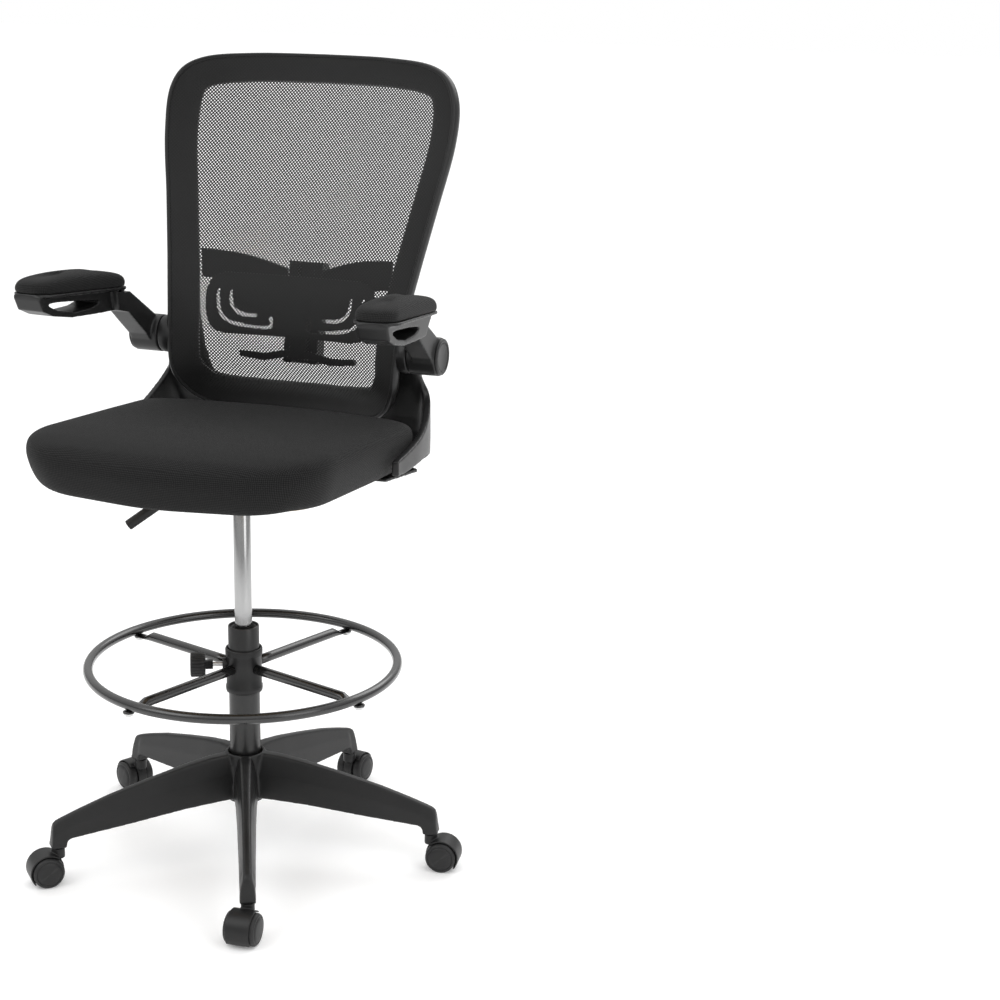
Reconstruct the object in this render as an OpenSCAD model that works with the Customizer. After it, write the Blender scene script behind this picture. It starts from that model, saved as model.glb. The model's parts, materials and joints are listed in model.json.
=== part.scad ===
// Drafting chair: five-star base on twin-wheel casters, gas lift, sliding foot ring,
// padded seat, flip-up padded arms and a mesh back with a sliding lumbar pad.
// The origin is on the floor, on the column's axis. The chair faces -Y and +X is the sitter's left.

/* [Base] */
// Distance from the column's axis to each caster stem
stem_radius = 313; // [300:1:320]
// Turn of the first leg about the column
base_turn = 8.3; // [0:0.1:71]
// Height of the rim of the hub
hub_top = 189; // [186:1:192]
// Outside diameter of the hub
hub_d = 62; // [60:1:70]

/* [Casters] */
// Diameter of each wheel
wheel_d = 50; // [48:1:50]
// Width of each wheel
wheel_w = 17; // [15:1:18]
// Distance from the stem to the axle
trail = 20; // [18:1:22]
// Height of the legs' ends above the floor
caster_height = 59; // [59:1:66]

/* [Column] */
// Outside diameter of the lift tube
tube_d = 50; // [48:1:50]
// Height of the top of the lift tube
tube_top = 404; // [396:1:410]
// Diameter of the piston
piston_d = 28; // [26:1:30]

/* [Foot ring] */
// Height of the hoop
ring_z = 340; // [320:1:345]
// Radius of the hoop's centreline
ring_radius = 248; // [225:1:250]
// Diameter of the hoop's and the spokes' tubes
ring_tube = 16; // [14:1:18]
// Turn of the first spoke about the column
ring_turn = 71.3; // [0:0.1:89]

/* [Seat] */
// Height of the seat's underside
seat_low = 662; // [660:1:664]
// Thickness of the cushion
seat_thick = 84; // [76:1:86]
// Rise of the seat towards the front, in degrees
seat_tilt = 3.4; // [0:0.1:3.6]
// Half width of the cushion
seat_half = 247; // [240:1:248]
// Distance from the column to the cushion's front edge
seat_front = 310; // [280:1:312]

/* [Arms] */
// Distance from the middle of the chair to the middle of each pad
pad_x = 274; // [272:1:276]
// Length of each pad
pad_length = 234; // [230:1:244]
// Width of each pad
pad_width = 78; // [72:1:80]
// How far the pads' front ends turn outwards, in degrees
toe_out = 4.5; // [4:0.5:7]

/* [Back] */
// Height of the middle of the frame's top band
frame_top = 1268; // [1250:1:1275]
// Width of the frame's side bands
band = 50; // [44:1:52]
// Thickness of the frame
frame_thick = 24; // [20:1:26]

/* [Hidden] */
$fn = 64;
legs = [0:4];
tube_bore = 45.6;
slide_gap = 0.3;
pin_gap = 0.1;
hinge_y = 172;
hinge_z = 834;
hinge_d = 62;
boss_in = 206;
boss_out = 221;
arm_in = 221.4;
arm_out = 270;
axle_z = wheel_d / 2;
// Heights of the body are drawn for legs that end at leg_low, then moved to the casters' height
leg_low = 72;
datum = caster_height - leg_low;
wheel_gap = 18.6;
collar_d = 60;
knob_turn = ring_turn + 135;
knob_z = ring_z - 2;
// Turn of each caster about its stem
caster_turns = [0, 0, 0, 0, -22];
plastic = [0.16, 0.16, 0.17];
dark = [0.10, 0.10, 0.11];
cloth = [0.13, 0.13, 0.14];
steel = [0.72, 0.73, 0.75];
sides = [["left", 1], ["right", -1]];

// ---- helpers ----

// Arc of points that rounds the corner b between a and c with radius r
function unit2(v) = v / norm(v);
function corner(a, b, c, r, n = 8) =
    let (u = unit2(a - b), w = unit2(c - b), half = acos(u * w) / 2,
         mid = b + unit2(u + w) * r / sin(half),
         p = b + u * r / tan(half) - mid, q = b + w * r / tan(half) - mid,
         start = atan2(p.y, p.x), turn = atan2(q.y, q.x) - start,
         sweep = turn > 180 ? turn - 360 : turn < -180 ? turn + 360 : turn)
    [for (i = [0:n]) mid + r * [cos(start + sweep * i / n), sin(start + sweep * i / n)]];
// Closed outline with every corner [x, y, radius] rounded
function rounded(p) = let (n = len(p))
    [for (i = [0:n - 1]) each corner(
        [p[(i + n - 1) % n].x, p[(i + n - 1) % n].y], [p[i].x, p[i].y],
        [p[(i + 1) % n].x, p[(i + 1) % n].y], p[i][2])];
// Smooth curve through the points p, with n steps between each pair
function spline_at(a, b, c, d, t) =
    0.5 * ((2 * b) + (c - a) * t + (2 * a - 5 * b + 4 * c - d) * t * t
        + (3 * b - a - 3 * c + d) * t * t * t);
function spline(p, n) = let (last = len(p) - 1)
    [for (i = [0:last - 1], s = [0:n - 1]) spline_at(
        p[max(i - 1, 0)], p[i], p[i + 1], p[min(i + 2, last)], s / n), p[last]];

module about(angle, radius) rotate([0, 0, angle]) translate([radius, 0, 0]) children();
module block(low, high) translate(low) cube(high - low);
// Extrudes a side outline given as [y, z] along X from x0 to x1
module side_plate(outline, x0, x1)
    translate([x0, 0, 0]) rotate([90, 0, 90]) linear_extrude(x1 - x0) polygon(outline);
module bar_x(d, x0, x1, y, z)
    translate([x0, y, z]) rotate([0, 90, 0]) cylinder(d = d, h = x1 - x0);
module bar_y(d, y0, y1, x, z)
    translate([x, y0, z]) rotate([-90, 0, 0]) cylinder(d = d, h = y1 - y0);
module bar(d, from, to) {
    v = to - from;
    translate(from) rotate([0, acos(v.z / norm(v)), atan2(v.y, v.x)]) cylinder(d = d, h = norm(v));
}

// ---- base and casters ----

// Side outline of a leg, [distance from the column, height]
leg_side = [[20, 186], [36, 187], [100, 178], [160, 164], [230, 146], [280, 130], [314, 118],
    [321, 112], [325, leg_low], [301, leg_low], [300, 86], [205, 95], [105, 106], [20, 112]];
leg_plan = [[20, -21], [120, -17], [300, -13], [326, -12], [326, 12], [300, 13], [120, 17], [20, 21]];
module leg() intersection() {
    rotate([90, 0, 0]) translate([0, 0, -30]) linear_extrude(60) polygon(leg_side);
    linear_extrude(200) polygon(leg_plan);
}
module star_base() color(plastic) difference() {
    union() {
        translate([0, 0, 105]) cylinder(d = hub_d, h = hub_top - 105);
        for (i = legs) rotate([0, 0, base_turn + 72 * i]) leg();
    }
    translate([0, 0, 109]) cylinder(d = tube_d + pin_gap, h = 100);
    translate([0, 0, 100]) cylinder(d = 40, h = 20);
    for (i = legs) about(base_turn + 72 * i, stem_radius) translate([0, 0, 60]) cylinder(d = 11.1, h = 36);
}
module caster_hood() color(plastic) translate([trail, 0, axle_z]) difference() {
    union() {
        rotate([90, 0, 0]) rotate([0, 0, -40]) rotate_extrude(angle = 170)
            translate([wheel_d / 2 + 0.6, -19]) square([3, 38]);
        rotate([90, 0, 0]) translate([0, 0, -8]) cylinder(r = wheel_d / 2 + 2, h = 16);
        translate([-trail, 0, 17]) cylinder(d = 21, h = caster_height - axle_z - 17.4);
    }
    rotate([90, 0, 0]) translate([0, 0, -30]) cylinder(d = 6.1, h = 60);
    translate([-trail, 0, 16]) cylinder(d = 11.1, h = 40);
    for (s = [-1, 1]) translate([0, s * (wheel_gap / 2 + 10), 0]) rotate([90, 0, 0])
        cylinder(r = wheel_d / 2 + 1, h = 20, center = true);
    translate([0, 0, -axle_z - 24]) cube([90, 90, 50], center = true);
}
module caster_stem() color(steel) {
    translate([0, 0, 41.5]) cylinder(d = 11, h = caster_height - 19);
}
module caster_axle() color(steel)
    translate([trail, -22, axle_z]) rotate([-90, 0, 0]) cylinder(d = 6, h = 44);
// Wheel outline, [radius, distance out from the hood]
module wheel_outline() difference() {
    polygon([[0, 0], [23, 0], [wheel_d / 2, 2], [wheel_d / 2, wheel_w - 4.5],
        [wheel_d / 2 - 1.5, wheel_w - 2], [wheel_d / 2 - 4, wheel_w - 0.8], [14, wheel_w], [0, wheel_w]]);
    square([3.1, wheel_w - 3]);
}
module caster_wheel(side) color(dark)
    translate([trail, side * wheel_gap / 2, axle_z]) rotate([-90 * side, 0, 0])
        rotate_extrude() wheel_outline();

// ---- gas lift ----

module lift_outer_tube() color(dark) difference() {
    translate([0, 0, 109]) cylinder(d = tube_d, h = tube_top - 109);
    translate([0, 0, 112]) cylinder(d = tube_bore, h = 400);
}
module lift_bushing() color(plastic) difference() {
    translate([0, 0, 340]) cylinder(d = tube_bore - 0.1, h = tube_top - 343);
    translate([0, 0, 330]) cylinder(d = piston_d + 2 * pin_gap, h = 100);
}
module lift_piston() color(steel) difference() {
    translate([0, 0, 270]) cylinder(d = piston_d, h = 364);
    translate([0, 0, 614]) cylinder(d = 10.2, h = 30);
}
module lift_button() color(dark) translate([0, 0, 622]) cylinder(d = 10, h = 18.6);

// ---- foot ring ----

module ring_hoop() color(dark) difference() {
    translate([0, 0, ring_z]) rotate_extrude() translate([ring_radius, 0]) circle(d = ring_tube, $fn = 32);
    for (a = [0:90:359]) about(ring_turn + a, ring_radius) translate([0, 0, ring_z - 20]) cylinder(d = 6.1, h = 24);
}
spoke_z = ring_z - 6;
tab_z = ring_z - ring_tube / 2 - 5.2;
module ring_spokes() color(dark) for (a = [0:90:359]) rotate([0, 0, ring_turn + a]) difference() {
    union() {
        bar_x(ring_tube, collar_d / 2 - 4, ring_radius - 14, 0, spoke_z);
        block([ring_radius - 28, -8, tab_z], [ring_radius + 9, 8, tab_z + 5]);
    }
    cylinder(d = collar_d, h = 900);
    translate([ring_radius, 0, tab_z - 20]) cylinder(d = 6.1, h = 60);
}
module ring_collar() color(plastic) difference() {
    union() {
        translate([0, 0, ring_z - 48]) cylinder(d1 = collar_d - 6, d2 = collar_d, h = 5);
        translate([0, 0, ring_z - 43]) cylinder(d = collar_d, h = 70);
        rotate([0, 0, knob_turn]) bar_x(22, 0, collar_d / 2 + 4, 0, knob_z);
    }
    cylinder(d = tube_d + 2 * slide_gap, h = 900);
    rotate([0, 0, knob_turn]) bar_x(8.2, 0, 60, 0, knob_z);
}
module ring_bolts() color(steel) for (a = [0:90:359]) about(ring_turn + a, ring_radius) {
    translate([0, 0, tab_z - 4]) cylinder(d = 13, h = 4);
    translate([0, 0, tab_z]) cylinder(d = 6, h = 16);
}
module ring_knob_screw() color(steel) rotate([0, 0, knob_turn])
    bar_x(8, tube_d / 2 + slide_gap, 70, 0, knob_z);
module ring_knob() color(plastic) rotate([0, 0, knob_turn]) difference() {
    union() {
        bar_x(16, 50, 62, 0, knob_z);
        bar_x(38, 62, 86, 0, knob_z);
        for (a = [0:20:359]) translate([0, 0, knob_z]) rotate([a, 0, 0])
            block([63, -1.6, 17], [85, 1.6, 20]);
    }
    bar_x(8.2, 40, 70.5, 0, knob_z);
}

// ---- seat ----

// Pieces on the seat are drawn from its underside and tilted with it
module on_seat() translate([0, 0, seat_low]) rotate([-seat_tilt, 0, 0]) children();
seat_plan = rounded([[0, -seat_front - 14, 520], [seat_half, -seat_front + 12, 104], [seat_half - 2, 128, 50],
    [204, 160, 80], [0, 212, 420], [-204, 160, 80], [-seat_half + 2, 128, 50],
    [-seat_half, -seat_front + 12, 104]]);
// Cushion seen from the side, [y, height above the underside], and from the front, [x, height]
seat_side = [[212, 8], [200, 0], [-250, 2], [-286, -6], [-306, -12], [-316, -2], [-326, 24], [-326, 46], [-314, 60],
    [-290, 71], [-250, 79], [-190, seat_thick], [120, seat_thick - 2], [190, seat_thick - 8], [212, seat_thick - 30]];
seat_across = [[-seat_half + 26, -14], [-seat_half + 3, 38], [-seat_half, 52], [-seat_half + 3, 70],
    [-seat_half + 18, seat_thick], [seat_half - 18, seat_thick], [seat_half - 3, 70], [seat_half, 52],
    [seat_half - 3, 38], [seat_half - 26, -14]];
function shrunk(p, kx, ky) = [for (q = p) [q.x * kx, (q.y + 40) * ky - 40]];
board_high = 12;
module seat_board() color([0.5, 0.42, 0.3]) on_seat() difference() {
    linear_extrude(board_high) polygon(shrunk(seat_plan, 0.86, 0.85));
    bolt_places() translate([0, 0, -1]) cylinder(d = 8.1, h = 40);
}
module seat_cushion() color(cloth) on_seat() difference() {
    intersection() {
        translate([0, 0, -20]) linear_extrude(seat_thick + 20) polygon(seat_plan);
        side_plate(seat_side, -seat_half, seat_half);
        translate([0, 300, 0]) rotate([90, 0, 0]) linear_extrude(700) polygon(seat_across);
    }
    translate([0, 0, -20]) linear_extrude(board_high + 20.2) polygon(shrunk(seat_plan, 0.862, 0.852));
    bolt_places() cylinder(d = 9, h = 20);
}
// Bolts that hold the mechanism, then those that hold the arm brackets
mechanism_bolts = [for (x = [-80, 80], y = [-90, 90]) [x, y]];
bracket_bolts = [for (x = [140, 190], y = [70, 120]) [x, y]];
module bolt_places() for (p = concat(mechanism_bolts, bracket_bolts, [for (q = bracket_bolts) [-q.x, q.y]]))
    translate([p.x, p.y, 0]) children();
module seat_bolts() color(steel) on_seat() bolt_places() {
    translate([0, 0, -11]) cylinder(d = 14, h = 4);
    translate([0, 0, -7]) cylinder(d = 8, h = 22);
}
module seat_mechanism() color(dark) difference() {
    on_seat() {
        difference() {
            block([-105, -112, -7], [105, 112, 0]);
            for (p = mechanism_bolts) translate([p.x, p.y, -20]) cylinder(d = 8.1, h = 60);
        }
        block([-62, -72, -42], [62, 72, -3]);
    }
    translate([0, 0, 600]) cylinder(d = piston_d + 2 * pin_gap, h = 42);
    on_seat() block([-64, -14, -27], [24, 14, -7]);
}
lever_z = 646;
lever_knee = [-72, 0, lever_z];
lever_tip = [-164, -50, 573];
module height_lever() color(steel) {
    bar(9, [10, 0, lever_z], lever_knee);
    bar(9, lever_knee, lever_knee + (lever_tip - lever_knee) * 0.98);
    translate(lever_knee) sphere(d = 9);
    bar_y(11, -9, 9, -40, lever_z);
}
module height_lever_grip() color(plastic) difference() {
    bar(17, lever_knee + (lever_tip - lever_knee) * 0.55, lever_tip + (lever_tip - lever_knee) * 0.1);
    bar(9.2, lever_knee, lever_knee + (lever_tip - lever_knee) * 0.985);
}

// ---- arms ----

module arm_bracket() color(plastic) difference() {
    union() {
        hull() {
            bar_y(46, 182, 200, 192, 870);
            block([152, 182, 792], [221, 200, 800]);
        }
        hull() {
            block([152, 182, 792], [221, 200, 800]);
            block([146, 206, 740], [238, 225, 750]);
        }
        hull() {
            block([146, 206, 740], [238, 225, 750]);
            block([142, 219, 686], [226, 241, 700]);
        }
        hull() {
            block([142, 219, 686], [226, 241, 700]);
            block([165, 214, 646], [222, 232, 654]);
        }
        hull() {
            block([212, 206, 650], [228, 236, 748]);
            block([246, 160, 660], [256, 186, 752]);
        }
        hull() {
            block([246, 160, 660], [256, 186, 730]);
            block([248.5, 130, 650], [258, 160, 704]);
        }
        hull() {
            block([248.5, 130, 650], [258, 160, 704]);
            block([253, 4, 676], [263, 10, 700]);
        }
        on_seat() block([118, 44, -7], [256, 150, 0]);
        block([206, 172, 815], [boss_out, 200, 855]);
        bar_x(hinge_d, boss_in, boss_out, hinge_y, hinge_z);
    }
    bar_x(10.2, 190, 240, hinge_y, hinge_z);
    on_seat() for (p = bracket_bolts) translate([p.x, p.y, -40]) cylinder(d = 8.1, h = 60);
    bar_y(12, 180, 240, 192, 870);
    bar_y(12, 180, 240, 168, 779);
    bar_y(22.6, 210.1, 240, 168, 779);
}
module bracket_plugs() color(dark) for (s = [-1, 1]) {
    bar_y(22, 200, 204, s * 192, 870);
    bar_y(11.8, 188, 200, s * 192, 870);
    bar_y(22, 210.2, 214, s * 168, 779);
    bar_y(11.8, 200, 210.2, s * 168, 779);
}
module arm_hinge_pins() color(steel) for (s = [-1, 1]) mirror([s < 0 ? 1 : 0, 0, 0])
    bar_x(10, 208, 266, hinge_y, hinge_z);

// Side outline of the arm above its hub, [y, z]
arm_side = [[192, 856], [150, 834], [142, 826], [132, 838], [100, 863], [74, 884], [44, 891], [38, 921],
    [80, 917], [170, 862]];
carrier_side = [[80, 921], [46, 890], [-2, 892], [-64, 896], [-112, 905], [-138, 916], [-148, 935],
    [-148, 940.5], [-35, 932], [76, 923.6]];
slot_side = [[18, 910], [-12, 904], [-60, 904], [-100, 912], [-130, 926], [-98, 925], [-40, 919], [0, 913]];
pad_y = -34;
// Places a pad's pieces, turned out about the pad's middle
module pad_place() translate([pad_x, pad_y, 0]) rotate([0, 0, toe_out]) translate([0, -pad_y, 0]) children();
pad_rise = 4.3;
module pad_tilt() translate([0, pad_y, 930]) rotate([-pad_rise, 0, 0]) children();
function pad_plan(w, l) = rounded([[w / 2, l / 2, w * 0.3], [-w / 2, l / 2, w * 0.3],
    [-w / 2, -l / 2, w * 0.42], [w / 2, -l / 2, w * 0.42]]);
module arm() color(plastic) difference() {
    union() {
        bar_x(hinge_d, arm_in, arm_out, hinge_y, hinge_z);
        side_plate(arm_side, 232, 268);
        pad_place() side_plate(carrier_side, -24, 24);
        pad_place() pad_tilt() linear_extrude(5) polygon(pad_plan(pad_width - 4, pad_length - 4));
    }
    bar_x(10.2, 200, 266.5, hinge_y, hinge_z);
    pad_place() side_plate(slot_side, -60, 60);
}
module arm_cap() color(dark) difference() {
    bar_x(hinge_d - 3, arm_out, arm_out + 4, hinge_y, hinge_z);
    difference() {
        bar_x(46, arm_out + 3, arm_out + 5, hinge_y, hinge_z);
        bar_x(43, arm_out + 2, arm_out + 6, hinge_y, hinge_z);
    }
}
module arm_pad() color(cloth) pad_place() pad_tilt() {
    translate([0, 0, 5]) linear_extrude(16) polygon(pad_plan(pad_width, pad_length));
    translate([0, 0, 21]) linear_extrude(9) polygon(pad_plan(pad_width - 18, pad_length - 26));
}

// ---- back ----

// The back's surface: the depth of its middle, its side curve and its slope, by height
depth_table = [[700, 241], [725, 232], [740, 225], [780, 189], [834, 173], [890, 180], [974, 210],
    [1100, 261], [1200, 306], [1300, 338]];
curve_table = [[700, 0.0019], [740, 0.0018], [780, 0.0011], [834, 0.0006], [890, 0.0004],
    [974, 0.0004], [1100, 0.0005], [1200, 0.0007], [1300, 0.001]];
function back_y(x, z) = lookup(z, depth_table) - lookup(z, curve_table) * x * x;
function front_normal(x, z) = let (n = [
    (back_y(x + 4, z) - back_y(x - 4, z)) / 8, -1, (back_y(x, z + 14) - back_y(x, z - 14)) / 28])
    n / norm(n);
// Right half of the band's middle line, [x, z, band width], from top to bottom
half_line = [[0, frame_top, 44], [120, frame_top - 2, 45], [198, frame_top - 12, 48],
    [226, frame_top - 42, band + 4], [229, 1160, band + 2], [213, 1060, band], [196, 960, band],
    [184, 880, band], [179, 820, band], [172, 776, band], [144, 741, band], [80, 728, band], [0, 725, band]];
half_curve = spline(half_line, 4);
half_count = len(half_curve);
ring_line = concat(half_curve, [for (i = [half_count - 2:-1:1])
    [-half_curve[i].x, half_curve[i].y, half_curve[i][2]]]);
ring_count = len(ring_line);
// Section of the band, [across, behind the front face] as parts of width and thickness
section = [[-0.5, 0.7], [-0.46, 0.4], [0, 0.06], [0.46, 0], [0.5, 0.2], [0.47, 0.5], [0.32, 0.86],
    [0, 1], [-0.3, 1.06], [-0.46, 0.96]];
function band_point(i, s) = let (
    p = ring_line[i], a = ring_line[(i + ring_count - 1) % ring_count], b = ring_line[(i + 1) % ring_count],
    n = front_normal(p.x, p.y), along = [b.x - a.x, back_y(b.x, b.y) - back_y(a.x, a.y), b.y - a.y],
    side = cross(n, along) / norm(cross(n, along)))
    [p.x, back_y(p.x, p.y), p.y] + side * s.x * p[2] - n * s.y * frame_thick;
// Closed loop of sections as one solid
module swept_loop(points, rings, n) polyhedron(points, [for (i = [0:rings - 1], j = [0:n - 1])
    let (a = i * n + j, b = i * n + (j + 1) % n, c = ((i + 1) % rings) * n + (j + 1) % n,
         d = ((i + 1) % rings) * n + j) each [[a, b, c], [a, c, d]]]);
module back_frame() color(plastic) swept_loop(
    [for (i = [0:ring_count - 1], s = section) band_point(i, s)], ring_count, len(section));
// Thin sheet between two depths behind the surface, on a grid of rows of [x, z]
module sheet(rows, near, far) {
    m = len(rows[0]);
    k = len(rows);
    function shell(d) = [for (row = rows, p = row) [p.x, back_y(p.x, p.y), p.y] - front_normal(p.x, p.y) * d];
    last = m * k;
    function quad(a, b, c, d) = [[a, b, c], [a, c, d]];
    polyhedron(concat(shell(near), shell(far)), concat(
        [for (i = [0:k - 2], j = [0:m - 2]) let (a = i * m + j) each quad(a, a + 1, a + m + 1, a + m)],
        [for (i = [0:k - 2], j = [0:m - 2]) let (a = last + i * m + j) each quad(a, a + m, a + m + 1, a + 1)],
        [for (j = [0:m - 2]) each quad(j, last + j, last + j + 1, j + 1)],
        [for (j = [0:m - 2]) let (a = (k - 1) * m + j) each quad(a, a + 1, last + a + 1, last + a)],
        [for (i = [0:k - 2]) let (a = i * m) each quad(a, a + m, last + a + m, last + a)],
        [for (i = [0:k - 2]) let (a = i * m + m - 1) each quad(a, last + a, last + a + m, a + m)]));
}
// Half width of the mesh at each height, a little inside the frame's rim
mesh_edge = spline([[703, 60], [712, 126], [735, 166], [776, 190], [820, 197], [880, 203], [960, 216],
    [1060, 233], [1160, 250], [1222, 250], [1256, 236], [1278, 200], [1288, 124]], 3);
columns = 16;
module back_mesh() color(cloth)
    sheet([for (e = mesh_edge) [for (j = [0:columns]) [(2 * j / columns - 1) * e.y, e.x]]], -2.4, -0.4);

// ---- lumbar support ----

module lumbar_crossbar() color(plastic) {
    for (s = [-1, 1]) mirror([s < 0 ? 1 : 0, 0, 0]) hull() {
        block([160, 205, 926], [167, 213, 974]);
        block([30, 244, 884], [36, 258, 944]);
    }
}
// The housing and what slides in it lean back with the frame
module on_back() translate([0, 232, 790]) rotate([-10.7, 0, 0]) children();
housing_plan = [[-30, -10], [-15, -10], [-15, 8], [15, 8], [15, -10], [30, -10], [30, 20],
    [17, 32], [-17, 32], [-30, 20]];
module lumbar_housing() color(plastic) on_back() difference() {
    linear_extrude(168) polygon(housing_plan);
    translate([0, 38, 168]) rotate([-40, 0, 0]) cube([90, 60, 30], center = true);
    translate([0, 34, 77]) rotate([90, 0, 0]) linear_extrude(6)
        polygon([[-3, 52], [3, 52], [7, -54], [-7, -54]]);
}
module lumbar_insert() color(dark) on_back() translate([0, 31, 77]) rotate([90, 0, 0]) linear_extrude(3)
    polygon([[-2.6, 51.6], [2.6, 51.6], [6.6, -53.6], [-6.6, -53.6]]);
pad_rows = [[842, 118], [850, 138], [880, 148], [912, 150], [936, 140], [944, 118]];
module lumbar_pad() color(dark)
    sheet([for (e = pad_rows) [for (j = [0:12]) [(j / 6 - 1) * e.y, e.x]]], 8, 13);
slider_side = [[7, 6], [7, 140], [-52, 140], [-52, 60], [-24, 40], [-24, 6]];
module lumbar_slider() color(dark) on_back() side_plate(slider_side, -14, 14);
handle_side = rounded([[14, 10, 3], [60, 0, 20], [104, 4, 4], [104, 14, 4], [60, 12, 20], [14, 22, 3]]);
module lumbar_handle() color(dark) for (s = [-1, 1]) mirror([s < 0 ? 1 : 0, 0, 0])
    on_back() translate([0, -11.5, 0]) rotate([90, 0, 0]) linear_extrude(12.5) polygon(handle_side);

// ---- assembly ----

module body() translate([0, 0, datum]) children();

body() star_base();
body() lift_outer_tube();
body() lift_bushing();
body() lift_piston();
body() lift_button();
for (i = legs) about(base_turn + 72 * i, stem_radius) rotate([0, 0, caster_turns[i]]) {
    caster_hood();
    caster_stem();
    caster_axle();
    caster_wheel(1);
    caster_wheel(-1);
}
body() ring_hoop();
body() ring_spokes();
body() ring_collar();
body() ring_bolts();
body() ring_knob();
body() ring_knob_screw();
body() seat_cushion();
body() seat_board();
body() seat_mechanism();
body() seat_bolts();
body() height_lever();
body() height_lever_grip();
for (s = sides) mirror([s[1] < 0 ? 1 : 0, 0, 0]) {
    body() arm_bracket();
    body() arm();
    body() arm_cap();
    body() arm_pad();
}
body() arm_hinge_pins();
body() bracket_plugs();
body() back_frame();
body() back_mesh();
body() lumbar_crossbar();
body() lumbar_housing();
body() lumbar_insert();
body() lumbar_pad();
body() lumbar_slider();
body() lumbar_handle();
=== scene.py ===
import json
import math

import bmesh
import bpy
import numpy as np
from mathutils import Matrix, Vector

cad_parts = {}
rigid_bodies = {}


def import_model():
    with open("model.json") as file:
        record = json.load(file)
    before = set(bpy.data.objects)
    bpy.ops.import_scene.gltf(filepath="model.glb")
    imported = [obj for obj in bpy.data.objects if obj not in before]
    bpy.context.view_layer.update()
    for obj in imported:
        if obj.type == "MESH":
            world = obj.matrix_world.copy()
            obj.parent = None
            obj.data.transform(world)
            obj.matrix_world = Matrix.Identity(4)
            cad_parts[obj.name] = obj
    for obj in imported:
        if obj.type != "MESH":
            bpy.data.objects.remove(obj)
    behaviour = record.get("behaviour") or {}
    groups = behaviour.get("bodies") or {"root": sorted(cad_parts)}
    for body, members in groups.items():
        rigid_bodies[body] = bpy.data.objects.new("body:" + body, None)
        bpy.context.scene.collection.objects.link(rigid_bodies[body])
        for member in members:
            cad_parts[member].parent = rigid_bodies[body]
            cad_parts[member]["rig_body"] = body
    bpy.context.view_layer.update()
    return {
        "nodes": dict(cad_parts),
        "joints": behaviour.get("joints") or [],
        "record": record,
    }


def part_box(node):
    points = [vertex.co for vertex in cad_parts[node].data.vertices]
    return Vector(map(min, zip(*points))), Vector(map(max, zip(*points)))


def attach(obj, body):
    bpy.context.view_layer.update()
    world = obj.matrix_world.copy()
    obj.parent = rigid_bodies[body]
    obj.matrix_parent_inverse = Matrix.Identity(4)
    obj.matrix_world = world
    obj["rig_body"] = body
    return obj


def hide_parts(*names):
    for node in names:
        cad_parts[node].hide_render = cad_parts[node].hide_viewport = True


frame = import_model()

nodes = frame["nodes"]
joints = {joint["name"]: joint for joint in frame["joints"]}
mm = 0.001
scene = bpy.context.scene


# ---- shader helpers ----

class Field:
    """A shader socket that can be used in arithmetic."""

    def __init__(self, tree, socket):
        self.tree, self.socket = tree, socket

    def mathNode(self, operation, *values):
        node = makeNode(self.tree, "ShaderNodeMath", {"operation": operation})
        for index, value in enumerate(values):
            link(self.tree, value, node.inputs[index])
        return Field(self.tree, node.outputs[0])

    def __add__(self, other): return self.mathNode("ADD", self, other)
    def __radd__(self, other): return self.mathNode("ADD", other, self)
    def __sub__(self, other): return self.mathNode("SUBTRACT", self, other)
    def __rsub__(self, other): return self.mathNode("SUBTRACT", other, self)
    def __mul__(self, other): return self.mathNode("MULTIPLY", self, other)
    def __rmul__(self, other): return self.mathNode("MULTIPLY", other, self)
    def __truediv__(self, other): return self.mathNode("DIVIDE", self, other)
    def cosine(self): return self.mathNode("COSINE", self)
    def clamped(self): return self.mathNode("MINIMUM", self.mathNode("MAXIMUM", self, 0.0), 1.0)


def makeNode(tree, kind, settings=None, **inputs):
    node = tree.nodes.new(kind)
    for key, value in (settings or {}).items():
        setattr(node, key, value)
    for key, value in inputs.items():
        link(tree, value, node.inputs[key.replace("_", " ")])
    return node


def link(tree, value, socket):
    if isinstance(value, Field):
        tree.links.new(value.socket, socket)
    elif isinstance(value, bpy.types.NodeSocket):
        tree.links.new(value, socket)
    else:
        socket.default_value = value


def ramp(tree, factor, stops):
    node = makeNode(tree, "ShaderNodeValToRGB")
    while len(node.color_ramp.elements) < len(stops):
        node.color_ramp.elements.new(0.5)
    for element, (place, color) in zip(node.color_ramp.elements, stops):
        element.position = place
        element.color = (*color, 1)
    link(tree, factor, node.inputs[0])
    return node.outputs[0]


def startMaterial(name, **fixed):
    material = bpy.data.materials.new(name)
    material.use_nodes = True
    tree = material.node_tree
    shader = tree.nodes["Principled BSDF"]
    for key, value in fixed.items():
        shader.inputs[key.replace("_", " ")].default_value = value
    return material, tree, shader


def noise(tree, scale, detail=3.0, source="Object"):
    coords = makeNode(tree, "ShaderNodeTexCoord")
    node = makeNode(tree, "ShaderNodeTexNoise", Scale=scale, Detail=detail)
    tree.links.new(coords.outputs[source], node.inputs["Vector"])
    return Field(tree, node.outputs[0])


def bump(tree, shader, height, strength, distance):
    node = makeNode(tree, "ShaderNodeBump", Strength=strength, Distance=distance)
    link(tree, height, node.inputs["Height"])
    tree.links.new(node.outputs[0], shader.inputs["Normal"])


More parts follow.
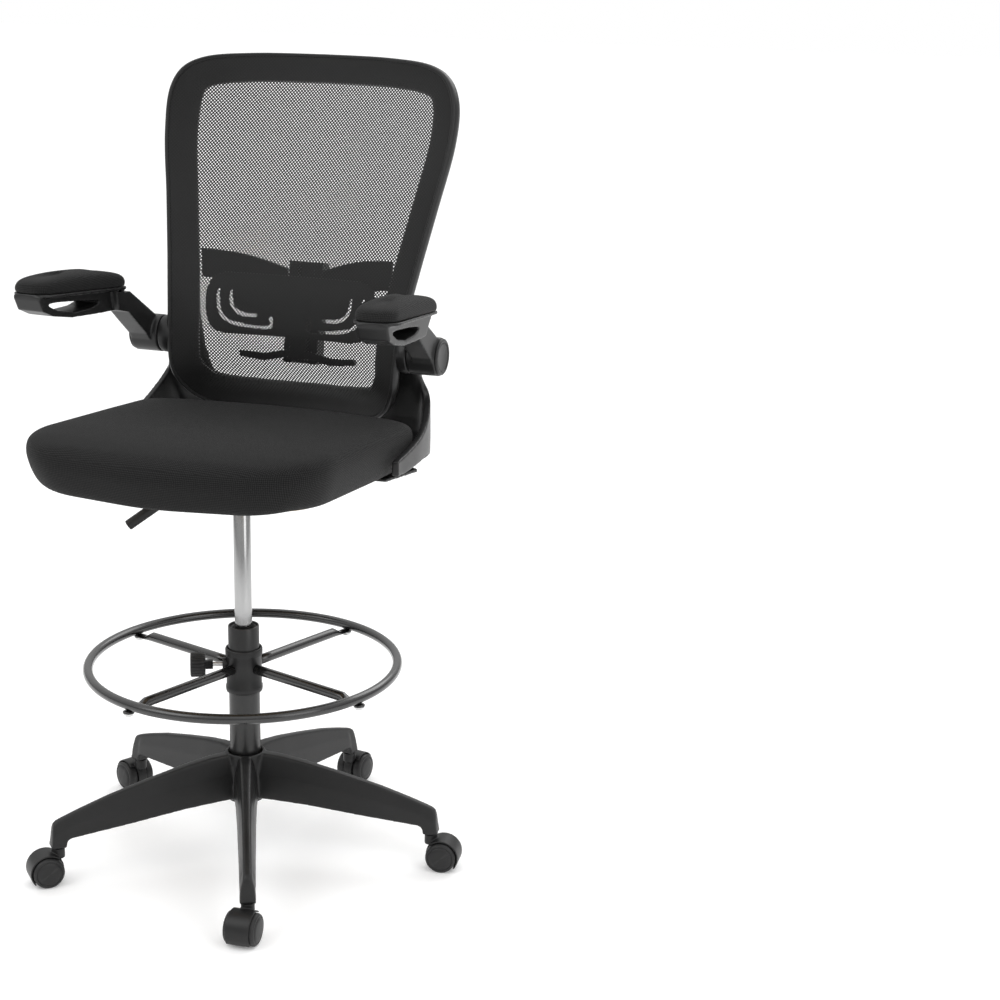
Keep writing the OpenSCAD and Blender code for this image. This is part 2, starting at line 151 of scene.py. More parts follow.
def mouldedPlastic(name, shade, roughness, grain=0.12, tint=(1, 1, 1.02), edgeHighlight=0.35):
    material, tree, shader = startMaterial(name, Specular_IOR_Level=0.34)
    fine, broad = noise(tree, 1500, 2), noise(tree, 14, 4)
    dark = [shade * 0.82 * c for c in tint]
    light = [shade * 1.2 * c for c in tint]
    geometry = makeNode(tree, "ShaderNodeNewGeometry")
    # Sharp edges found by pointiness get a painted highlight: their colour is raised towards 2.2 times the shade
    edge = ((Field(tree, geometry.outputs["Pointiness"]) - 0.515) * 14).clamped() * edgeHighlight
    base = ramp(tree, broad + edge, [(0.3, dark), (0.7, light), (1.0, [shade * 2.2 * c for c in tint])])
    tree.links.new(base, shader.inputs["Base Color"])
    link(tree, broad * 0.16 + (roughness - 0.08), shader.inputs["Roughness"])
    bump(tree, shader, fine, grain, 0.0002)
    return material


def brightMetal(name, shade, roughness, stretch=(1, 1, 1)):
    material, tree, shader = startMaterial(name, Metallic=1.0)
    coords = makeNode(tree, "ShaderNodeTexCoord")
    mapping = makeNode(tree, "ShaderNodeMapping", Scale=stretch)
    tree.links.new(coords.outputs["Object"], mapping.inputs["Vector"])
    streak = makeNode(tree, "ShaderNodeTexNoise", Scale=160, Detail=3)
    tree.links.new(mapping.outputs[0], streak.inputs["Vector"])
    field = Field(tree, streak.outputs[0])
    tree.links.new(ramp(tree, field, [(0.3, [shade * 0.9] * 3), (0.7, [shade] * 3)]), shader.inputs["Base Color"])
    link(tree, field * 0.12 + (roughness - 0.06), shader.inputs["Roughness"])
    return material


def paintedMetal(name, shade, roughness, coat):
    material, tree, shader = startMaterial(name, Coat_Weight=coat, Coat_Roughness=0.12)
    broad, peel = noise(tree, 20, 3), noise(tree, 420, 2)
    tree.links.new(ramp(tree, broad, [(0.3, [shade * 0.8] * 3), (0.7, [shade * 1.2] * 3)]), shader.inputs["Base Color"])
    link(tree, broad * 0.12 + (roughness - 0.06), shader.inputs["Roughness"])
    bump(tree, shader, peel, 0.08, 0.0004)
    return material


def wovenFabric(name, shade, pitch, depth, sheen=0.04):
    material, tree, shader = startMaterial(name, Sheen_Weight=sheen, Sheen_Roughness=0.5, Specular_IOR_Level=0.22)
    uv = makeNode(tree, "ShaderNodeUVMap")
    parts = makeNode(tree, "ShaderNodeSeparateXYZ")
    tree.links.new(uv.outputs[0], parts.inputs[0])
    across, along = Field(tree, parts.outputs[0]), Field(tree, parts.outputs[1])
    turn = 2 * math.pi / pitch
    cells = ((across + along) * turn).cosine() * ((across - along) * turn).cosine()
    knit = cells * 0.5 + 0.5
    broad, fibre = noise(tree, 9, 4), noise(tree, 900, 2)
    mixed = knit * 0.8 + fibre * 0.12 + broad * 0.08
    color = ramp(tree, mixed, [(0.18, [shade * 0.15] * 3), (0.5, [shade] * 3), (0.82, [shade * 3.2] * 3)])
    tree.links.new(color, shader.inputs["Base Color"])
    link(tree, knit * -0.15 + 0.88, shader.inputs["Roughness"])
    bump(tree, shader, mixed, 0.8, depth)
    return material


materials = {
    "base_plastic": mouldedPlastic("basePlastic", 0.009, 0.42, 0.2),
    "wheel_plastic": mouldedPlastic("wheelPlastic", 0.012, 0.46, 0.1),
    "bright_steel": brightMetal("brightSteel", 0.62, 0.3),
    "tube_black": paintedMetal("tubePaint", 0.009, 0.36, 0.1),
    "bushing_plastic": mouldedPlastic("bushingPlastic", 0.012, 0.5),
    "piston_chrome": brightMetal("pistonChrome", 0.42, 0.2, (1, 1, 0.02)),
    "ring_black": paintedMetal("ringPaint", 0.006, 0.26, 0.5),
    "ring_plastic": mouldedPlastic("ringPlastic", 0.01, 0.45),
    "seat_fabric": wovenFabric("seatFabric", 0.0042, 5.4 * mm, 0.9 * mm),
    "mechanism_black": paintedMetal("mechanismPaint", 0.01, 0.42, 0.0),
    "grip_plastic": mouldedPlastic("gripPlastic", 0.01, 0.5),
    "bracket_plastic": mouldedPlastic("bracketPlastic", 0.01, 0.38, 0.15),
    "arm_plastic": mouldedPlastic("armPlastic", 0.01, 0.38, 0.15),
    "cap_plastic": mouldedPlastic("capPlastic", 0.011, 0.4, 0.1),
    "pad_fabric": wovenFabric("padFabric", 0.0055, 4.6 * mm, 0.8 * mm),
    "frame_plastic": mouldedPlastic("framePlastic", 0.01, 0.4, 0.18),
    "lumbar_plastic": mouldedPlastic("lumbarPlastic", 0.012, 0.4, 0.15),
    "insert_plastic": mouldedPlastic("insertPlastic", 0.008, 0.35, 0.05),
    "lumbar_pad": mouldedPlastic("lumbarPadPlastic", 0.009, 0.5, 0.1),
}


def boardWood():
    material, tree, shader = startMaterial("boardWood", Roughness=0.75)
    grain = noise(tree, 40, 6)
    tree.links.new(ramp(tree, grain, [(0.3, (0.3, 0.2, 0.11)), (0.7, (0.5, 0.37, 0.22))]), shader.inputs["Base Color"])
    bump(tree, shader, grain, 0.3, 0.0006)
    return material


def meshYarn():
    material, tree, shader = startMaterial("meshYarn", Sheen_Weight=0.06, Specular_IOR_Level=0.3)
    strand, broad = noise(tree, 700, 3), noise(tree, 6, 3)
    mixed = strand * 0.6 + broad * 0.4
    tree.links.new(ramp(tree, mixed, [(0.3, [0.005] * 3), (0.75, [0.016] * 3)]), shader.inputs["Base Color"])
    link(tree, strand * 0.2 + 0.55, shader.inputs["Roughness"])
    bump(tree, shader, strand, 0.5, 0.0003)
    return material


materials["seat_board"] = boardWood()
materials["back_mesh"] = meshYarn()
for entry in frame["record"]["subparts"]:
    target = nodes[entry["node"]]
    target.data.materials.clear()
    target.data.materials.append(materials[entry["material_slot"]])
print("materials", len(materials))


# ---- mesh helpers ----

def addPiece(name, mesh, body, slot, replaced=(), smooth=True):
    piece = bpy.data.objects.new(name, mesh)
    scene.collection.objects.link(piece)
    mesh.materials.clear()
    mesh.materials.append(materials[slot])
    mesh.polygons.foreach_set("use_smooth", [smooth] * len(mesh.polygons))
    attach(piece, body)
    if replaced:
        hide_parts(*replaced)
    return piece


def meshFrom(name, points, faces):
    mesh = bpy.data.meshes.new(name)
    mesh.from_pydata([tuple(p) for p in points], [], faces)
    mesh.update()
    shape = bmesh.new()
    shape.from_mesh(mesh)
    bmesh.ops.recalc_face_normals(shape, faces=shape.faces)
    shape.to_mesh(mesh)
    shape.free()
    return mesh


# Skin over a list of rings with the same number of points; the ends are capped or the rings close
def loft(name, rings, looped=False):
    count, size = len(rings), len(rings[0])
    points = [p for ring in rings for p in ring]
    faces = []
    for i in range(count if looped else count - 1):
        a, b = i * size, ((i + 1) % count) * size
        faces += [(a + j, a + (j + 1) % size, b + (j + 1) % size, b + j) for j in range(size)]
    if not looped:
        faces += [tuple(range(size)), tuple(range((count - 1) * size, count * size))]
    return meshFrom(name, points, faces)


# Applies modifiers given as (kind, settings) to a mesh and returns the result
def withModifiers(mesh, *steps):
    holder = bpy.data.objects.new("holder", mesh)
    scene.collection.objects.link(holder)
    for kind, settings in steps:
        modifier = holder.modifiers.new(kind, kind)
        for key, value in settings.items():
            if isinstance(key, str) and key.startswith("Socket_"):
                modifier[key] = value
            else:
                setattr(modifier, key, value)
    result = bpy.data.meshes.new_from_object(holder.evaluated_get(bpy.context.evaluated_depsgraph_get()))
    result.name = mesh.name
    bpy.data.objects.remove(holder)
    return result


# A moulded copy of a CAD node, with its edges rounded
def softened(name, node, voxel, rounds, slot):
    mesh = withModifiers(
        nodes[node].data.copy(),
        ("WELD", {"merge_threshold": 0.00001}),
        ("REMESH", {"mode": "VOXEL", "voxel_size": voxel}),
        ("SMOOTH", {"factor": 0.5, "iterations": rounds}))
    mesh.name = name
    return addPiece(name, mesh, nodes[node]["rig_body"], slot, (node,))


# Flat coordinates in metres for the weave, laid over each face from the side it looks to
def weaveUv(mesh):
    layer = mesh.uv_layers.new(name="weave")
    for polygon in mesh.polygons:
        normal = polygon.normal
        axis = max(range(3), key=lambda k: abs(normal[k]) * (1.15 if k == 2 else 1))
        first, second = [(1, 2), (0, 2), (0, 1)][axis]
        for loop in polygon.loop_indices:
            point = mesh.vertices[mesh.loops[loop].vertex_index].co
            layer.data[loop].uv = (point[first], point[second])


def smoothStep(t):
    t = min(max(t, 0), 1)
    return t * t * (3 - 2 * t)


# Smooth curve through rows of numbers
def throughPoints(rows, steps, closed=False):
    rows = np.array(rows, float)
    count = len(rows)
    out = []
    for i in range(count if closed else count - 1):
        index = [(i + k) % count if closed else min(max(i + k, 0), count - 1) for k in (-1, 0, 1, 2)]
        a, b, c, d = rows[index]
        for s in range(steps):
            t = s / steps
            out.append(0.5 * (2 * b + (c - a) * t + (2 * a - 5 * b + 4 * c - d) * t * t
                              + (3 * b - a - 3 * c + d) * t ** 3))
    if not closed:
        out.append(rows[-1])
    return np.array(out)


# Tube of the given radius along a path of points
def tube(name, path, radius, sides=10, closed=False):
    path = np.array(path, float)
    count = len(path)
    rings = []
    last = None
    for i in range(count):
        before = path[(i - 1) % count] if closed or i else path[0]
        after = path[(i + 1) % count] if closed or i < count - 1 else path[-1]
        along = after - before
        along /= np.linalg.norm(along)
        if last is None:
            last = np.cross(along, (0, 0, 1) if abs(along[2]) < 0.9 else (0, 1, 0))
        side = last - along * (last @ along)
        side /= np.linalg.norm(side)
        last = side
        up = np.cross(along, side)
        size = radius[i] if hasattr(radius, "__len__") else radius
        rings.append([path[i] + (side * math.cos(2 * math.pi * k / sides)
                                 + up * math.sin(2 * math.pi * k / sides)) * size for k in range(sides)])
    return loft(name, rings, closed)


# ---- back surface ----

back = {
    "drop": 13.0,
    "depth": [[700, 241], [725, 232], [740, 225], [780, 189], [834, 173], [890, 180], [974, 210],
              [1100, 261], [1200, 306], [1300, 338]],
    "curve": [[700, 0.0019], [740, 0.0018], [780, 0.0011], [834, 0.0006], [890, 0.0004],
              [974, 0.0004], [1100, 0.0005], [1200, 0.0007], [1300, 0.001]],
    "thickness": 24.0,
    "line": [[0, 1268, 44], [120, 1266, 45], [198, 1256, 48], [226, 1226, 54], [229, 1160, 52],
             [213, 1060, 50], [196, 960, 50], [184, 880, 50], [179, 820, 50], [172, 776, 50],
             [144, 741, 50], [80, 728, 50], [0, 725, 50]],
    "section": [[-0.5, 0.7], [-0.47, 0.42], [-0.3, 0.22], [0, 0.08], [0.3, 0.03], [0.39, 0.02], [0.42, -0.09],
                [0.46, -0.12], [0.5, -0.02], [0.51, 0.18], [0.49, 0.45], [0.38, 0.84], [0.2, 0.96], [0, 1.0],
                [-0.3, 1.06], [-0.46, 0.98]],
}


# Values of a table between its rows, without corners
def tableValue(table, z):
    heights = [row[0] for row in table]
    values = [row[1] for row in table]
    slopes = np.gradient(values, heights)
    i = int(np.clip(np.searchsorted(heights, z) - 1, 0, len(table) - 2))
    span = heights[i + 1] - heights[i]
    t = (z - heights[i]) / span
    return ((2 * t ** 3 - 3 * t ** 2 + 1) * values[i] + (t ** 3 - 2 * t ** 2 + t) * span * slopes[i]
            + (3 * t ** 2 - 2 * t ** 3) * values[i + 1] + (t ** 3 - t ** 2) * span * slopes[i + 1])


def backDepth(x, z):
    return tableValue(back["depth"], z) - tableValue(back["curve"], z) * x * x


def backNormal(x, z):
    normal = np.array([(backDepth(x + 4, z) - backDepth(x - 4, z)) / 8, -1,
                       (backDepth(x, z + 14) - backDepth(x, z - 14)) / 28])
    return normal / np.linalg.norm(normal)


# Point a given depth behind the surface, in metres
def backPoint(x, z, behind=0.0):
    return (np.array([x, backDepth(x, z), z]) - backNormal(x, z) * behind - (0, 0, back["drop"])) * mm


def frameLine(steps):
    half = throughPoints(back["line"], steps)
    return np.vstack([half, [[-p[0], p[1], p[2]] for p in half[-2:0:-1]]])


def makeFrame():
    line = frameLine(14)
    section = throughPoints(back["section"], 4, closed=True)
    rings = []
    for i in range(len(line)):
        x, z, width = line[i]
        before, after = line[i - 1], line[(i + 1) % len(line)]
        normal = backNormal(x, z)
        along = np.array([after[0] - before[0], backDepth(after[0], after[1]) - backDepth(before[0], before[1]),
                          after[1] - before[1]])
        side = np.cross(normal, along)
        side /= np.linalg.norm(side)
        middle = np.array([x, backDepth(x, z), z - back["drop"]])
        rings.append([(middle + side * across * width - normal * behind * back["thickness"]) * mm
                      for across, behind in section])
    return addPiece("backFrame", loft("backFrame", rings, looped=True), "seat", "frame_plastic", ("back_frame",))


makeFrame()


# Outline of the frame moved across its band: 0.5 is the outer edge
def bandEdge(across, behind, steps=14):
    line = frameLine(steps)
    out = []
    for i in range(len(line)):
        x, z, width = line[i]
        before, after = line[i - 1], line[(i + 1) % len(line)]
        along = np.array([after[0] - before[0], after[1] - before[1]])
        along /= np.linalg.norm(along)
        out.append((x - along[1] * across * width, z + along[0] * across * width, behind))
    return out


# ---- back mesh ----

meshValues = {"pitch": 5.6, "hole": 0.5, "edge": 0.375, "proud": 1.0}


def holeGroup():
    group = bpy.data.node_groups.new("meshHoles", "GeometryNodeTree")
    face = group.interface
    face.new_socket(name="Geometry", in_out="INPUT", socket_type="NodeSocketGeometry")
    hole = face.new_socket(name="Hole size", in_out="INPUT", socket_type="NodeSocketFloat")
    yarn = face.new_socket(name="Material", in_out="INPUT", socket_type="NodeSocketMaterial")
    face.new_socket(name="Geometry", in_out="OUTPUT", socket_type="NodeSocketGeometry")
    start, end = group.nodes.new("NodeGroupInput"), group.nodes.new("NodeGroupOutput")
    extrude = makeNode(group, "GeometryNodeExtrudeMesh", {"mode": "FACES"})
    extrude.inputs["Offset Scale"].default_value = 0
    extrude.inputs["Individual"].default_value = True
    shrink = makeNode(group, "GeometryNodeScaleElements", {"domain": "FACE"})
    drop = makeNode(group, "GeometryNodeDeleteGeometry", {"domain": "FACE"})
    paint = makeNode(group, "GeometryNodeSetMaterial")
    links = group.links
    links.new(start.outputs["Geometry"], extrude.inputs["Mesh"])
    links.new(extrude.outputs["Mesh"], shrink.inputs["Geometry"])
    links.new(extrude.outputs["Top"], shrink.inputs["Selection"])
    links.new(start.outputs["Hole size"], shrink.inputs["Scale"])
    links.new(shrink.outputs["Geometry"], drop.inputs["Geometry"])
    links.new(extrude.outputs["Top"], drop.inputs["Selection"])
    links.new(drop.outputs["Geometry"], paint.inputs["Geometry"])
    links.new(start.outputs["Material"], paint.inputs["Material"])
    links.new(paint.outputs["Geometry"], end.inputs["Geometry"])
    return group, hole.identifier, yarn.identifier


def insideOutline(outline, x, z):
    inside = False
    for i in range(len(outline)):
        (x1, z1, _), (x2, z2, _) = outline[i], outline[i - 1]
        if (z1 > z) != (z2 > z) and x < (x2 - x1) * (z - z1) / (z2 - z1) + x1:
            inside = not inside
    return inside


def makeBackMesh():
    outline = bandEdge(meshValues["edge"], 0, 6)
    pitch = meshValues["pitch"]
    half = pitch / 2
    index, points, faces = {}, [], []

    def corner(i, j):
        if (i, j) not in index:
            index[i, j] = len(points)
            points.append(backPoint(i * half, 700 + j * half, -meshValues["proud"]))
        return index[i, j]

    for j in range(int(600 / half)):
        for i in range(-100, 101):
            if (i + j) % 2 or not insideOutline(outline, i * half, 700 + j * half):
                continue
            faces.append([corner(i + 1, j), corner(i, j + 1), corner(i - 1, j), corner(i, j - 1)])
    mesh = meshFrom("backMesh", points, faces)
    group, hole, yarn = holeGroup()
    mesh = withModifiers(mesh, ("NODES", {"node_group": group, hole: meshValues["hole"], yarn: materials["back_mesh"]}))
    piece = addPiece("backMesh", mesh, "seat", "back_mesh", ("back_mesh",))
    edge = bandEdge(meshValues["edge"] + 0.015, 0, 14)
    path = [backPoint(x, z, -meshValues["proud"] + 0.4) for x, z, _ in edge]
    addPiece("backMeshHem", tube("backMeshHem", path, 1.9 * mm, 8, closed=True), "seat", "back_mesh")
    print("back mesh", len(mesh.polygons), "faces")


makeBackMesh()


# ---- soft pieces ----

# Outline with rounded corners, as directions around a middle: corners are [x, y, radius]
def roundedOutline(corners, count):
    out = []
    size = len(corners)
    for i in range(size):
        a, b, c = (np.array(corners[(i + k) % size][:2], float) for k in (-1, 0, 1))
        radius = corners[i][2]
        u, w = (a - b) / np.linalg.norm(a - b), (c - b) / np.linalg.norm(c - b)
        halfAngle = math.acos(np.clip(u @ w, -1, 1)) / 2
        middle = b + (u + w) / np.linalg.norm(u + w) * radius / math.sin(halfAngle)
        first, last = b + u * radius / math.tan(halfAngle), b + w * radius / math.tan(halfAngle)
        start = math.atan2(*(first - middle)[::-1])
        sweep = math.atan2(*(last - middle)[::-1]) - start
        sweep = (sweep + math.pi) % (2 * math.pi) - math.pi
        out += [middle + radius * np.array([math.cos(start + sweep * k / 12), math.sin(start + sweep * k / 12)])
                for k in range(13)]
    out = np.array(out)
    gaps = np.linalg.norm(np.roll(out, -1, 0) - out, axis=1)
    travel = np.concatenate([[0], np.cumsum(gaps)])
    wanted = np.arange(count) * travel[-1] / count
    closed = np.vstack([out, out[:1]])
    return np.stack([np.interp(wanted, travel, closed[:, k]) for k in (0, 1)], 1)


seat = {
    "low": 662.0, "tilt": 3.4, "half": 246.0, "front": 310.0, "thick": 84.0,
    "bottom": [[-330, 22], [-318, -2], [-306, -10], [-286, -5], [-250, 2], [0, 0], [212, 4]],
    "top": [[-330, 40], [-322, 55], [-310, 65], [-290, 73.5], [-250, 80], [-190, 83], [0, 82.5], [120, 81],
            [180, 78], [212, 72]],
    "side": [[0.0, 0.0], [0.45, 0.0], [0.78, 0.0], [0.87, 0.005], [0.925, 0.05], [0.955, 0.16], [0.98, 0.36],
             [0.996, 0.56], [1.0, 0.7], [0.994, 0.82], [0.975, 0.905], [0.94, 0.955], [0.88, 0.985],
             [0.75, 1.0], [0.5, 1.0], [0.25, 1.0], [0.0, 1.0]],
}


def makeSeat():
    half, front = seat["half"], seat["front"]
    outline = roundedOutline([
        [0, -front - 14, 520], [half, -front + 12, 112], [half - 1, 128, 50], [204, 160, 80], [0, 211, 420],
        [-204, 160, 80], [-half + 1, 128, 50], [-half, -front + 12, 112]], 200)
    middle = np.array([0, -50.0])
    tilt = Matrix.Rotation(math.radians(-seat["tilt"]), 4, "X")
    profile = throughPoints(seat["side"], 3)
    rings = []
    for reach, rise in profile[1:-1]:
        reach = min(max(reach, 0.004), 1.0)
        ring = []
        for x, y in middle + (outline - middle) * reach:
            low = np.interp(y, *zip(*seat["bottom"]))
            high = np.interp(y, *zip(*seat["top"]))
            dish = 5 * math.exp(-((x / 130) ** 2 + ((y - 20) / 130) ** 2)) if rise > 0.9 else 0
            point = tilt @ Vector((x, y, low + (high - low) * rise - dish))
            ring.append([point.x * mm, point.y * mm, (point.z + seat["low"] - back["drop"]) * mm])
        rings.append(ring)
    mesh = withModifiers(loft("seatCushion", rings), ("SMOOTH", {"factor": 0.5, "iterations": 6}))
    weaveUv(mesh)
    piece = addPiece("seatCushion", mesh, "seat", "seat_fabric", ("seat_cushion",))


makeSeat()

armPad = {
    "x": 274.0, "y": -34.0, "z": 930.0, "toe": 4.5, "rise": 4.3, "length": 234.0, "width": 78.0,
    "side": [[0.0, 5.2], [0.7, 5.2], [0.93, 5.4], [0.985, 7.6], [1.0, 11.5], [0.99, 16.5], [0.95, 21.5],
             [0.87, 26], [0.72, 29.8], [0.48, 32.4], [0.24, 33.6], [0.0, 33.9]], "front": 0.84,
}


def makeArmPad(side, sign):
    values = armPad
    w, l = values["width"], values["length"]
    f = values["front"]
    outline = roundedOutline([[w / 2, l / 2, w * 0.42], [-w / 2, l / 2, w * 0.42],
                              [-w / 2 * f, -l / 2, w * 0.36], [w / 2 * f, -l / 2, w * 0.36]], 120)
    place = (Matrix.Translation((values["x"], values["y"], values["z"] - back["drop"]))
             @ Matrix.Rotation(math.radians(values["toe"]), 4, "Z")
             @ Matrix.Rotation(math.radians(-values["rise"]), 4, "X"))
    rings = []
    for reach, height in throughPoints(values["side"], 3)[1:-1]:
        ring = []
        for x, y in outline:
            reachY = 1 - (1 - reach) * w / l * 1.6
            swell = 1.02 - 0.22 * abs(2 * y / l) ** 3
            far = y * (reachY if reach > 0.3 else reach * (1 - 0.7 * w / l * 1.6) / 0.3)
            point = place @ Vector((x * max(reach, 0.01), far, 5 + (height - 5) * swell))
            ring.append([point.x * mm * sign, point.y * mm, point.z * mm])
        rings.append(ring)
    mesh = withModifiers(loft("armPad" + side, rings), ("SMOOTH", {"factor": 0.5, "iterations": 8}))
    weaveUv(mesh)
    piece = addPiece("armPad" + side, mesh, "arm_" + side.lower(), "pad_fabric", ("arm_pad_" + side.lower(),))


for side, sign in (("Left", 1), ("Right", -1)):
    makeArmPad(side, sign)
print("soft pieces")


# ---- turned pieces ----

# One mesh from several
def joined(name, meshes):
    shape = bmesh.new()
    for mesh in meshes:
        shape.from_mesh(mesh)
    mesh = bpy.data.meshes.new(name)
    shape.to_mesh(mesh)
    shape.free()
    return mesh


# Places local Z along an axis at a point given in metres
def along(point, axis):
    return Matrix.Translation(Vector(point)) @ Vector((0, 0, 1)).rotation_difference(Vector(axis)).to_matrix().to_4x4()


# Turned shape: rows of radius and height in millimetres; a looped profile is a ring with a bore
def lathe(name, profile, place, sides=64, looped=False, ribs=None):
    rings = []
    for radius, height in profile:
        ring = []
        for k in range(sides):
            turn = 2 * math.pi * k / sides
            r = max(radius, 0.05)
            if ribs and ribs["from"] < height < ribs["to"] and radius > ribs["above"]:
                r -= ribs["deep"] * (0.5 - 0.5 * math.cos(ribs["count"] * turn)) ** 4
            ring.append(place @ Vector((r * mm * math.cos(turn), r * mm * math.sin(turn), height * mm)))
        rings.append(ring)
    return loft(name, rings, looped)


upright = along((0, 0, -back["drop"] * mm), (0, 0, 1))
turned = {
    "liftTube": ("base", "tube_black", "lift_outer_tube", True,
                 [[24, 109], [25, 110], [25, 250], [25, 402.6], [24.3, 404], [23.2, 404], [22.8, 403.4],
                  [22.8, 250], [22.8, 112], [21, 109]]),
    "liftBushing": ("base", "bushing_plastic", "lift_bushing", True,
                    [[22.7, 341], [22.7, 399], [21.8, 401], [18.5, 401], [17.6, 399.6], [17, 398], [14.3, 396],
                     [14.2, 341]]),
    "liftPiston": ("lift", "piston_chrome", "lift_piston", False,
                   [[0, 270], [13, 270], [14, 271], [14, 400], [14, 633], [13.2, 634], [0, 634]]),
}
for name, (body, slot, node, looped, profile) in turned.items():
    addPiece(name, lathe(name, profile, upright, 96, looped), body, slot, (node,))

cap = {"profile": [[0, 2.6], [20.4, 2.6], [21.4, 2.9], [21.8, 2.2], [22.6, 1.9], [23.4, 2.2], [23.8, 3.4], [25.6, 4.0],
                   [27.6, 3.8], [29, 2.8], [29.5, 1.2], [29.5, 0], [0, 0]],
       "plug": [[0, 0], [11, 0], [11, 1.2], [10.3, 2.4], [8.2, 3.5], [4.5, 4.0], [0, 4.1]]}
for side, sign in (("left", 1), ("right", -1)):
    hinge = joints[f"arm_{side}_flip"]
    low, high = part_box(f"arm_cap_{side}")
    middle = (low + high) / 2
    middle.x = low.x if sign > 0 else high.x
    name = f"armCap{side.title()}"
    addPiece(name, lathe(name, cap["profile"][::-1], along(middle, (sign, 0, 0)), 72), f"arm_{side}", "cap_plastic",
             (f"arm_cap_{side}",))
plugs = [lathe("plug", cap["plug"], along((sign * x * mm, y * mm, (z - back["drop"]) * mm), (0, 1, 0)), 40)
         for sign in (1, -1) for x, y, z in ((192, 200, 870), (168, 210.2, 779))]
addPiece("bracketPlugs", joined("bracketPlugs", plugs), "seat", "cap_plastic", ("bracket_plugs",))

wheel = {"profile": [[0, 0.2], [9, 0.2], [20, 0.4], [23.6, 1.0], [24.9, 2.6], [25, 5], [25, 10.5], [24.7, 12.6],
                     [23.4, 14.6], [21.6, 15.6], [20.4, 15.7], [20, 14.9], [19.4, 14.9], [19, 15.9], [12, 16.8],
                     [0, 17]]}


def makeWheel(side, number):
    axis = Vector(joints[f"wheel_{side}_{number}_roll"]["axis"]) * (1 if side == "left" else -1)
    low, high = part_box(f"caster_wheel_{side}_{number}")
    name = f"wheel{side.title()}{number}"
    mesh = lathe(name, wheel["profile"], along((low + high) / 2 - axis * 8.5 * mm, axis), 64)
    addPiece(name, mesh, f"wheel_{side}_{number}", "wheel_plastic", (f"caster_wheel_{side}_{number}",))


for number in range(1, 6):
    makeWheel("left", number)
    makeWheel("right", number)
print("turned pieces")

# ---- foot ring ----

ring = {"turn": 71.3, "radius": 248.0, "tube": 8.0, "z": 327.0, "spoke_z": 321.0, "tab_z": 313.8, "inner": 27.0,
        "collar": [[25.5, 279], [26.8, 279], [29.2, 280.5], [29.8, 284], [29.8, 289], [28.6, 290.5], [28.4, 318],
                   [28.6, 340], [29.8, 341.5], [30, 343], [30, 351.5], [29.2, 353.4], [27.6, 354], [26.6, 353],
                   [25.5, 350]],
        "knob": [[0, 0], [8, 0], [8, 11.5], [9, 12], [17.5, 12], [19.2, 12.8], [20, 14.4], [20, 24], [20, 33.6],
                 [19.2, 35.2], [17.2, 36], [8, 36], [7, 35.2], [0, 35.2]],
        "ribs": {"from": 12.5, "to": 35.5, "above": 17.6, "deep": 1.3, "count": 22}}


def makeRing():
    circle = [((ring["radius"] * math.cos(t)) * mm, (ring["radius"] * math.sin(t)) * mm, ring["z"] * mm)
              for t in np.linspace(0, 2 * math.pi, 192, endpoint=False)]
    addPiece("footHoop", tube("footHoop", circle, ring["tube"] * mm, 24, closed=True), "foot_ring", "ring_black",
             ("ring_hoop",))
    spokes = []
    for quarter in range(4):
        turn = Matrix.Rotation(math.radians(ring["turn"] + 90 * quarter), 4, "Z")
        rings = []
        for r in (27, 60, 110, 160, 200, 214, 222, 228, 233, 240, 248, 253, 256, 257.5):
            flat = smoothStep((r - 212) / 20)
            high = 8 - 5.6 * flat
            wide = (8 + 0.8 * flat) * (1 if r < 250 else math.sqrt(max(1 - ((r - 249) / 9) ** 2, 0.1)))
            middle = ring["spoke_z"] + (ring["tab_z"] + 2.5 - ring["spoke_z"]) * flat
            rings.append([turn @ Vector((r * mm, wide * mm * math.cos(a), (middle + high * math.sin(a)) * mm))
                          for a in np.linspace(0, 2 * math.pi, 24, endpoint=False)])
        spokes.append(loft("spoke", rings))
    addPiece("ringSpokes", joined("ringSpokes", spokes), "foot_ring", "ring_black", ("ring_spokes",))
    knob = joints["ring_knob_turn"]
    axis = Vector(knob["axis"])
    outwards = axis if axis.dot(sum(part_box("ring_knob"), Vector())) > 0 else -axis
    height = Vector((0, 0, 325 * mm))
    boss = lathe("boss", [[0, 24], [11, 24], [11, 33.4], [10.2, 34.6], [0, 34.6]], along(height, outwards), 40)
    collar = lathe("collar", ring["collar"], Matrix(), 96, looped=True)
    addPiece("ringCollar", joined("ringCollar", [collar, boss]), "foot_ring", "ring_plastic", ("ring_collar",))
    mesh = lathe("ringKnob", ring["knob"], along(height + outwards * 50 * mm, outwards), 264, ribs=ring["ribs"])
    addPiece("ringKnob", mesh, "ring_knob", "ring_plastic", ("ring_knob",))
    thread = [[0, 25.5]]
    for k in range(26):
        thread += [[3.5, 26 + k * 1.25], [4, 26.6 + k * 1.25]]
    thread += [[3.6, 60], [0, 60]]
    mesh = lathe("knobScrew", thread, along(height, outwards), 32)
    addPiece("knobScrew", mesh, "ring_knob", "bright_steel", ("ring_knob_screw",))


makeRing()
print("foot ring")

# ---- star base ----

star = {"turn": 8.3, "bore": 25.3,
        "top": [[20, 186], [36, 187], [60, 185], [100, 178], [160, 164], [230, 146], [280, 130], [306, 120.6],
                [314, 117.4], [319, 113.6], [321.5, 108], [325, 76]],
        "bottom": [[20, 112], [105, 106], [205, 95], [292, 87], [298, 85], [300.6, 80], [301.4, 72.4], [325, 72.4]],
        "wide": [[20, 20], [60, 17.5], [120, 15.5], [230, 13.5], [326, 12.5]],
        "narrow": 0.5,
        "hub": [[26.6, 105], [30, 105], [31, 107], [31, 170], [32, 184], [32.4, 187.6], [31.6, 189.2], [29.6, 189.4],
                [28.4, 188.2], [27.6, 184], [25.5, 183], [25.4, 110]]}


